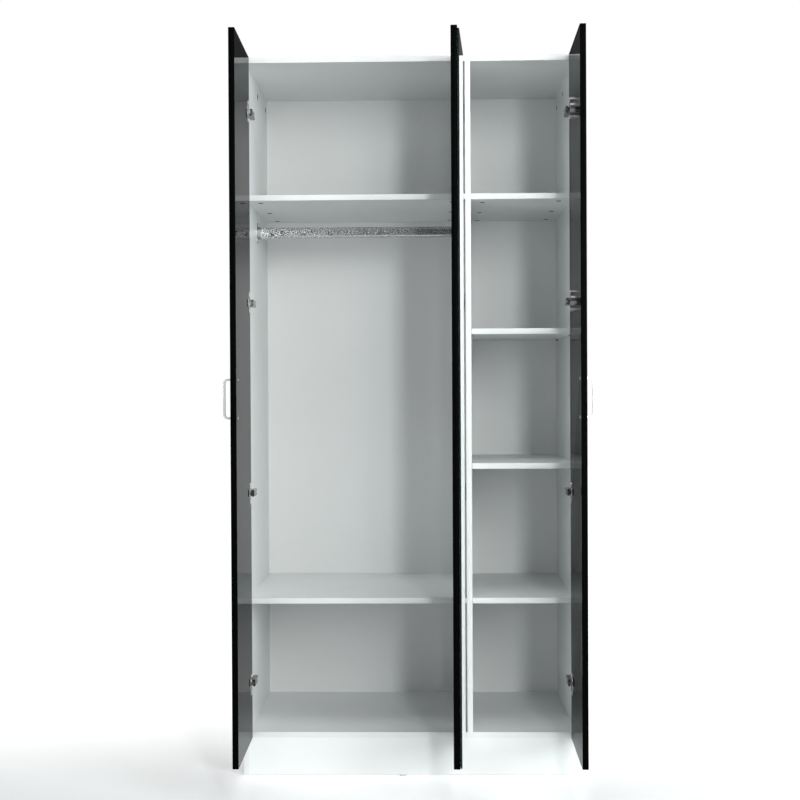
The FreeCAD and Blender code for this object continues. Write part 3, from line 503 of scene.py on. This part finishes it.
def cross_screw(bm, place, radius, height, shank, length, steps=32):
    """A pan-head screw along Z: its head above the origin, its thread below."""
    rings = [cross_head(bm, place, radius, height, HEAD_DOME, steps)]
    turns = max(2, int(length / THREAD_PITCH))
    for turn in range(turns):
        for share, down in ((1.0, turn), (THREAD_ROOT, turn + 0.5)):
            rings.append(circle(bm, place, shank * share, -length * down / turns, steps))
    rings.append([bm.verts.new(place @ Vector((0, 0, -length)))])
    join_rings(bm, rings, steps)


WELD = 0.001 * MM


def islands(name):
    """The separate solids of a CAD node, each as a list of points."""
    bm = bmesh.new()
    bm.from_mesh(nodes[name].data)
    bmesh.ops.remove_doubles(bm, verts=bm.verts, dist=WELD)
    left = set(bm.verts)
    found = []
    while left:
        reached = [left.pop()]
        for vert in reached:
            for edge in vert.link_edges:
                other = edge.other_vert(vert)
                if other in left:
                    left.remove(other)
                    reached.append(other)
        found.append([vert.co.copy() for vert in reached])
    bm.free()
    return sorted(found, key=lambda points: tuple(round(c, 5) for c in middle_of(points)))


def sideways(name):
    """The level direction that a door's two big faces look along."""
    total = Vector((0, 0, 0))
    for face in nodes[name].data.polygons:
        if abs(face.normal.z) < 0.1:
            flip = 1 if face.normal.x > 0 else -1
            total += Vector((face.normal.x, face.normal.y, 0)) * flip * face.area * abs(face.normal.x)
    return total.normalized()


def along(points, axis):
    """Where a group of points starts and ends along a direction."""
    heights = [p.dot(axis) for p in points]
    return min(heights), max(heights)


def outline_of(points, axis):
    """Each point's height along an axis and its distance from the group's centre line."""
    middle = middle_of(points)
    found = []
    for point in points:
        off = point - middle
        found.append((point.dot(axis), (off - axis * off.dot(axis)).length))
    return found


END_REACH = 0.3 * MM
HEAD_PLAY = 0.05 * MM
PLAIN_HEAD_HEIGHT = 1.5 * MM


def screws_for(name, body, slot, axis, material):
    """Detailed screws in place of a node's plain ones, found from its solids."""
    def build(bm):
        for points in islands(name):
            outline = outline_of(points, axis)
            low, high = along(points, axis)
            low_radius, high_radius = (
                max(radius for height, radius in outline if abs(height - end) < END_REACH)
                for end in (low, high))
            flip = 1 if high_radius > low_radius else -1
            out = axis * flip
            top = high if flip > 0 else -low
            head = max(low_radius, high_radius)
            heights = sorted({round(height * flip, 6) for height, radius in outline
                              if radius > head - HEAD_PLAY})
            middle = middle_of(points)
            under = heights[0] if len(heights) > 1 else top - PLAIN_HEAD_HEIGHT
            base = middle + out * (under - middle.dot(out))
            shank = min(low_radius, high_radius)
            length = (high - low) - (top - under)
            cross_screw(bm, facing(base, out), head, top - under, shank, length)
    made = piece(name + "_detail", mesh_of(name + "_detail", build), body, slot, material)
    smooth(made)
    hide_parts(name)


def turn_to(bm, out, run):
    """Turns a mesh made along X, Y and Z so that it lies along out, run and up."""
    turn = Matrix((out, run, UP)).transposed()
    for vert in bm.verts:
        vert.co = turn @ vert.co


def smooth(made, angle=32):
    """Smooth shading with sharp corners kept."""
    made.data.shade_smooth()
    split = made.modifiers.new("corners", "EDGE_SPLIT")
    split.split_angle = math.radians(angle)


# ---------------------------------------------------------------- carcass boards

BANDED = ("left_side", "right_side", "top_panel", "bottom_panel", "partition",
          "left_top_shelf", "left_lower_shelf", "right_top_shelf", "right_third_shelf",
          "right_second_shelf", "right_lower_shelf")
PLINTH = ("plinth_front", "plinth_back", "plinth_brace")
BAND_THICK = 0.45 * MM
BAND_INSET = 0.05 * MM


def band_board(name):
    """White banding along a board's front edge, a hair inside its outline."""
    low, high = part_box(name)
    corner = Vector((low.x + BAND_INSET, low.y - BAND_THICK, low.z + BAND_INSET))
    opposite = Vector((high.x - BAND_INSET, low.y + BAND_INSET, high.z - BAND_INSET))

    def build(bm):
        rounded_block(bm, corner, opposite, BAND_THICK * 0.45, 3)
    label = name + "_edge_band"
    smooth(piece(label, mesh_of(label, build), "carcass", "white_board", BAND))


for name in BANDED + PLINTH:
    finish_node(name, WHITE, 0.35 * MM)
for name in ("back_panel_left", "back_panel_right"):
    finish_node(name, BACK, 0.2 * MM)
for name in BANDED:
    band_board(name)

finish_node("glides", PLASTIC, 0.8 * MM, 3)
finish_node("cam_bolts", NICKEL, 0.2 * MM)
finish_node("dowels", BEECH, 0.6 * MM)
finish_node("shelf_pins", NICKEL, 0.3 * MM)
finish_node("back_nails", ZINC, 0.2 * MM)

CAM_RIM = 0.9 * MM
CAM_RIM_TOP = 0.35 * MM
CAM_RECESS = 1.2 * MM
CAM_FACE = 1.2 * MM
CAM_STEPS = 40
CAM_RINGS = 12
ROUND_PLAY = 0.2 * MM


def make_cams():
    """Cams with a rim and a cross slot in their open face."""
    # The faces of standing boards that a sideways cam can open onto.
    walls = [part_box("left_side")[1].x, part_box("right_side")[0].x,
             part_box("partition")[0].x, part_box("partition")[1].x]

    def build(bm):
        for points in islands("cams"):
            low, high = box_of(points)
            size = high - low
            radius = size.y / 2
            if abs(size.y - size.z) < ROUND_PLAY:
                at_low = min(abs(low.x - wall) for wall in walls)
                at_high = min(abs(high.x - wall) for wall in walls)
                out = -X_AXIS if at_low < at_high else X_AXIS
                depth = size.x
            else:
                out = -UP
                depth = size.z
            place = facing(middle_of(points) - out * depth / 2, out)
            sunk = depth - CAM_RECESS
            inner = radius - CAM_RIM
            cross_head(bm, place @ Matrix.Translation((0, 0, sunk - CAM_FACE)), inner,
                       CAM_FACE, 0.0, CAM_STEPS, CAM_RINGS)
            outline = ((inner, sunk - CAM_FACE), (inner, sunk), (radius - CAM_RIM_TOP, depth),
                       (radius, depth), (radius, 0))
            rings = [circle(bm, place, r, h, CAM_STEPS) for r, h in outline]
            rings.append([bm.verts.new(place @ Vector((0, 0, 0)))])
            join_rings(bm, rings, CAM_STEPS)
    # the cams take zinc coloured near black as painted shade
    made = piece("cam_fittings", mesh_of("cam_fittings", build), "carcass", "cam_zinc", SHADE_DARKENED_CAM)
    smooth(made)
    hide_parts("cams")


make_cams()

# ---------------------------------------------------------------- rail

finish_node("hanging_rail", RAIL, 0.3 * MM)
for side in ("left", "right"):
    finish_node(f"rail_socket_{side}", RAIL, 0.4 * MM)

FILM_GAP = 0.5 * MM
FILM_SHORT = 2 * MM
FILM_TIGHT = 0.35 * MM
FILM_LOOSE = 1.5 * MM
FILM_CALMS = 3.2
FILM_RINGS = 420
FILM_STEPS = 44


def make_rail_film():
    """The clear wrapping still on the rail: a loose sleeve, crumpled most near its left end."""
    low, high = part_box("hanging_rail")
    length = high.x - low.x
    straight = (high.z - low.z) - (high.y - low.y)
    radius = (high.y - low.y) / 2 + FILM_GAP
    centre = (low + high) / 2

    def build(bm):
        rings = []
        for i in range(FILM_RINGS + 1):
            share = i / FILM_RINGS
            x = low.x + FILM_SHORT + (length - 2 * FILM_SHORT) * share
            loose = FILM_TIGHT + FILM_LOOSE * math.exp(-share * FILM_CALMS)
            ring = []
            for j in range(FILM_STEPS):
                angle = 2 * math.pi * j / FILM_STEPS
                out = Vector((0, math.cos(angle), math.sin(angle)))
                lift = straight / 2 if out.z > 0 else -straight / 2
                at = Vector((x, centre.y + out.y * radius, centre.z + out.z * radius + lift))
                folds = abs(noise.noise(at * 130)) * 1.5
                crinkles = abs(noise.noise(at * 310)) * 0.7
                ring.append(bm.verts.new(at + out * loose * (folds + crinkles)))
            rings.append(ring)
        join_rings(bm, rings, FILM_STEPS)
    film = piece("rail_film", mesh_of("rail_film", build), "carcass", "chrome", FILM)
    film.data.shade_flat()


make_rail_film()
screws_for("rail_socket_screws", "carcass", "screw_steel", X_AXIS, ZINC)

# ---------------------------------------------------------------- doors and hinges

DOOR_BAND_PROUD = 0.25 * MM
DOOR_BAND_SUNK = 0.3 * MM
DOOR_BAND_LIP = 0.03 * MM


def reach_of(name):
    """A door's or mirror's own directions, and where it starts and ends along each."""
    out = sideways(name)
    run = Vector((-out.y, out.x, 0))
    points = [vert.co for vert in nodes[name].data.vertices]
    return out, run, [along(points, axis) for axis in (out, run, UP)]


def band_door(side):
    """Black banding on a door's free edge, top and bottom; the hinge side keeps its facing."""
    out, run, (depth, length, height) = reach_of(f"{side}_door")
    free_edge = ((length[0] - DOOR_BAND_PROUD, height[0]), (length[0] + DOOR_BAND_SUNK, height[1]))
    foot = ((length[0], height[0] - DOOR_BAND_PROUD), (length[1], height[0] + DOOR_BAND_SUNK))
    head = ((length[0], height[1] - DOOR_BAND_SUNK), (length[1], height[1] + DOOR_BAND_PROUD))

    def build(bm):
        for low, high in (free_edge, foot, head):
            rounded_block(bm, Vector((depth[0] - DOOR_BAND_LIP, *low)),
                          Vector((depth[1] + DOOR_BAND_LIP, *high)), DOOR_BAND_PROUD * 0.8, 2)
        turn_to(bm, out, run)
    name = f"{side}_door_edge_band"
    smooth(piece(name, mesh_of(name, build), f"{side}_door", "black_gloss", BLACK_BAND))


for side in DOORS:
    body = f"{side}_door"
    outward = sideways(body)
    finish_node(body, GLOSS, 0.5 * MM, 3)
    band_door(side)
    finish_node(f"{side}_hinge_cups", NICKEL, 0.25 * MM)
    # arms and links take nickel coloured near black as painted shade
    finish_node(f"{side}_hinge_arms", SHADE_DARKENED_NICKEL, 0.3 * MM)
    finish_node(f"{side}_hinge_plates", NICKEL, 0.3 * MM)
    finish_node(f"{side}_hinge_outer_links", SHADE_DARKENED_NICKEL, 0.15 * MM)
    finish_node(f"{side}_hinge_inner_links", SHADE_DARKENED_NICKEL, 0.2 * MM)
    finish_node(f"{side}_hinge_pins", ZINC, 0.2 * MM)
    screws_for(f"{side}_hinge_plate_screws", "carcass", "screw_steel", X_AXIS, ZINC)
    screws_for(f"{side}_hinge_cup_screws", body, "screw_steel", outward, ZINC)
    if side != "middle":
        finish_node(f"{side}_handle", CHROME, 0.9 * MM, 3)
        screws_for(f"{side}_handle_screws", body, "screw_steel", outward, ZINC)

MIRROR_ARRIS = 0.7 * MM


def make_mirror():
    """The mirror sheet: silvered face, polished green edge with an arris, painted back."""
    out, run, (depth, length, height) = reach_of("mirror")
    silvered, polished, painted = range(3)       # the materials given to the piece, in order

    def build(bm):
        rounded_block(bm, Vector((depth[0], length[0], height[0])),
                      Vector((depth[1], length[1], height[1])), MIRROR_ARRIS, 2)
        for face in bm.faces:
            if face.normal.x > 0.999:
                face.material_index = silvered
            elif face.normal.x < -0.999:
                face.material_index = painted
            else:
                face.material_index = polished
        turn_to(bm, out, run)
    made = piece("mirror_glass", mesh_of("mirror_glass", build), "middle_door", "mirror_glass",
                 SILVER, GLASS_EDGE, BACK_PAINT)
    smooth(made, 15)         # under the arris's angle, so the big face stays flat
    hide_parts("mirror")


make_mirror()
finish_node("mirror_tape", FOAM, 0.3 * MM)

# ---------------------------------------------------------------- stage, light and camera

FLOOR_SIZE = 28
bpy.ops.mesh.primitive_plane_add(size=FLOOR_SIZE, location=(0, 0, 0))
floor = bpy.context.object
floor.name = "floor"
floor.data.materials.append(FLOOR)


def make_world(lit, seen):
    """A white backdrop: full strength where it is seen, and dim as a light."""
    world = bpy.data.worlds.new("studio")
    scene.world = world
    world.use_nodes = True
    sky = world.node_tree
    to_camera = sky.nodes.new("ShaderNodeLightPath").outputs["Is Camera Ray"]
    strength = sky.nodes.new("ShaderNodeMapRange")
    strength.inputs["To Min"].default_value = lit
    strength.inputs["To Max"].default_value = seen
    sky.links.new(to_camera, strength.inputs["Value"])
    backdrop = sky.nodes["Background"]
    backdrop.inputs["Color"].default_value = (1, 1, 1, 1)
    sky.links.new(strength.outputs["Result"], backdrop.inputs["Strength"])


make_world(lit=0.08, seen=1.0)

WARM = (1.0, 0.985, 0.96)
COOL = (0.95, 0.99, 1.0)
COOLER = (0.94, 0.99, 1.0)
SKY = (0.93, 0.985, 1.0)


def soft_light(name, at, towards, size, power, colour):
    """An area light at one point, turned towards another; power is in watts."""
    data = bpy.data.lights.new(name, "AREA")
    data.shape = "RECTANGLE"
    data.size, data.size_y = size
    data.energy = power
    data.color = colour
    lamp = bpy.data.objects.new(name, data)
    scene.collection.objects.link(lamp)
    lamp.location = at
    lamp.rotation_euler = (Vector(towards) - Vector(at)).to_track_quat("-Z", "Y").to_euler()


soft_light("key", at=(1.6, -4.2, 2.45), towards=(0.0, 0.0, 1.0), size=(1.4, 2.2),
           power=53, colour=WARM)
soft_light("slit", at=(0.88, -4.4, 2.0), towards=(0.3, 0.0, 1.1), size=(0.3, 2.4),
           power=60, colour=COOL)
soft_light("overhead", at=(0.0, -1.35, 3.9), towards=(0.0, 0.1, 0.6), size=(2.6, 1.3),
           power=47, colour=SKY)
soft_light("fill", at=(-1.3, -4.3, 2.0), towards=(0.3, 0.2, 1.0), size=(0.7, 2.0),
           power=11, colour=COOL)
soft_light("window", at=(3.1, -3.3, 1.7), towards=(0.25, 0.0, 1.0), size=(1.8, 2.0),
           power=120, colour=COOLER)

# The camera's place and angles come from lining the model up with the photograph.
CAMERA_AT = (0.04921, -3.63622, 1.04676)
TURN, PITCH, ROLL = (math.radians(angle) for angle in (1.232, -0.501, -0.284))
LENS = 59.256
SENSOR = 36


def make_camera():
    """A level camera turned about the vertical, then pitched, then rolled."""
    ahead = Vector((-math.sin(TURN), math.cos(TURN), 0))
    rightwards = Vector((math.cos(TURN), math.sin(TURN), 0))
    view = math.cos(PITCH) * ahead + math.sin(PITCH) * UP
    above = -math.sin(PITCH) * ahead + math.cos(PITCH) * UP
    right = math.cos(ROLL) * rightwards + math.sin(ROLL) * above
    top = -math.sin(ROLL) * rightwards + math.cos(ROLL) * above
    lens = bpy.data.cameras.new("camera")
    lens.sensor_width = SENSOR
    lens.lens = LENS
    camera = bpy.data.objects.new("camera", lens)
    scene.collection.objects.link(camera)
    camera.matrix_world = Matrix((right, top, -view)).transposed().to_4x4()
    camera.location = CAMERA_AT
    scene.camera = camera


make_camera()
scene.view_settings.view_transform = "Standard"
